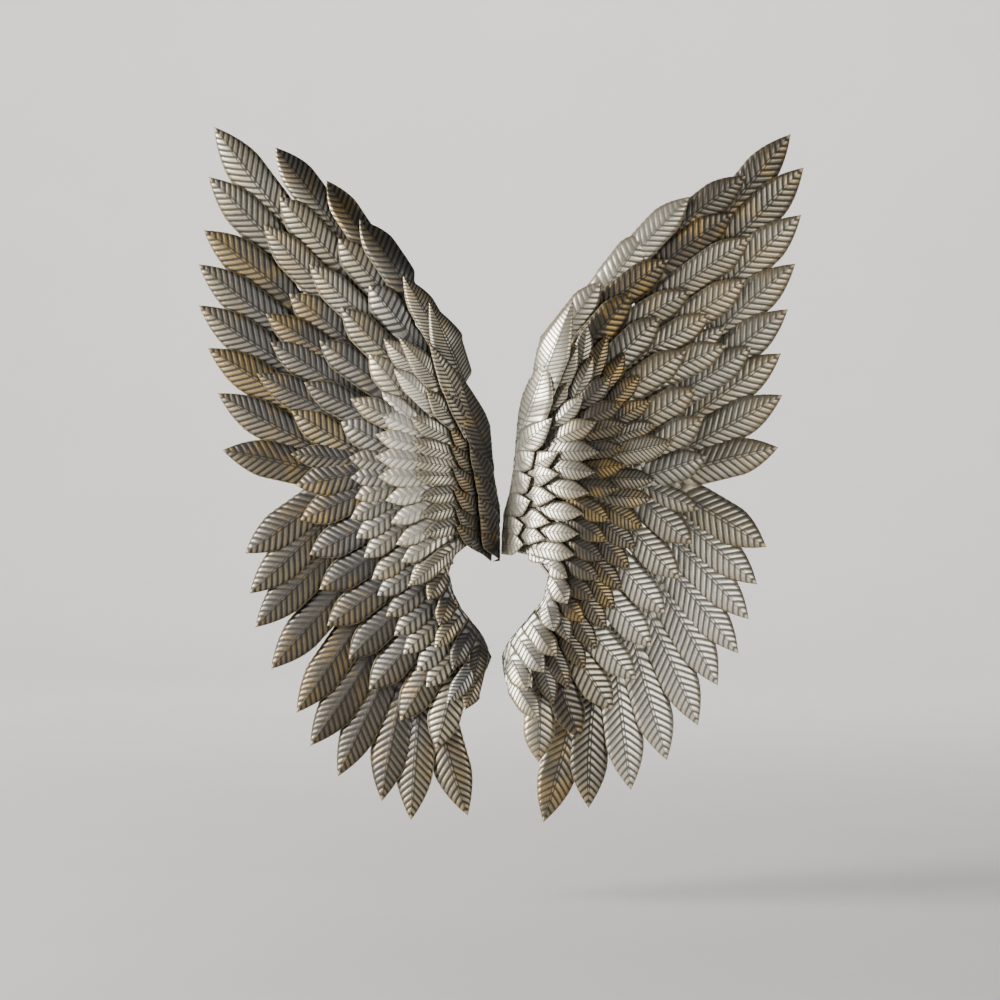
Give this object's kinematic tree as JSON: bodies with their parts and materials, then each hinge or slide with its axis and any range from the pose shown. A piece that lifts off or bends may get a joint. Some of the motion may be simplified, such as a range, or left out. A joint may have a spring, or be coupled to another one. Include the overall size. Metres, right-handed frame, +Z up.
{
  "type": "angel wings wall decoration",
  "caption": "Pair of wall-hung metal angel wings made of overlapping leaf-shaped feathers on a hidden rod frame.",
  "frame": {"origin": "on the wall plane, on the seam between the wings, at the height of the two hanger holes", "axes": "+Z up, -Y out of the wall towards the viewer, +X towards the right wing's tips"},
  "size_m": [0.786, 0.1114, 0.9],
  "materials": {
    "antique_gold": "stamped sheet steel with a dark patina and gold and silver dry-brushed ribs",
    "dark_steel": "satin dark grey paint"
  },
  "bodies": {
    "root": {"primary_leaves_right": "antique_gold", "secondary_leaves_right": "antique_gold", "tertial_leaves_right": "antique_gold", "middle_leaves_right": "antique_gold", "outer_covert_leaves_right": "antique_gold", "middle_covert_leaves_right": "antique_gold", "inner_covert_leaves_right": "antique_gold", "small_covert_leaves_right": "antique_gold", "edge_leaves_right": "antique_gold", "back_frame_right": "dark_steel", "primary_leaves_left": "antique_gold", "secondary_leaves_left": "antique_gold", "tertial_leaves_left": "antique_gold", "middle_leaves_left": "antique_gold", "inner_covert_leaves_left": "antique_gold", "small_covert_leaves_left": "antique_gold", "edge_leaves_left": "antique_gold", "back_frame_left": "dark_steel"}
  },
  "joints": []
}
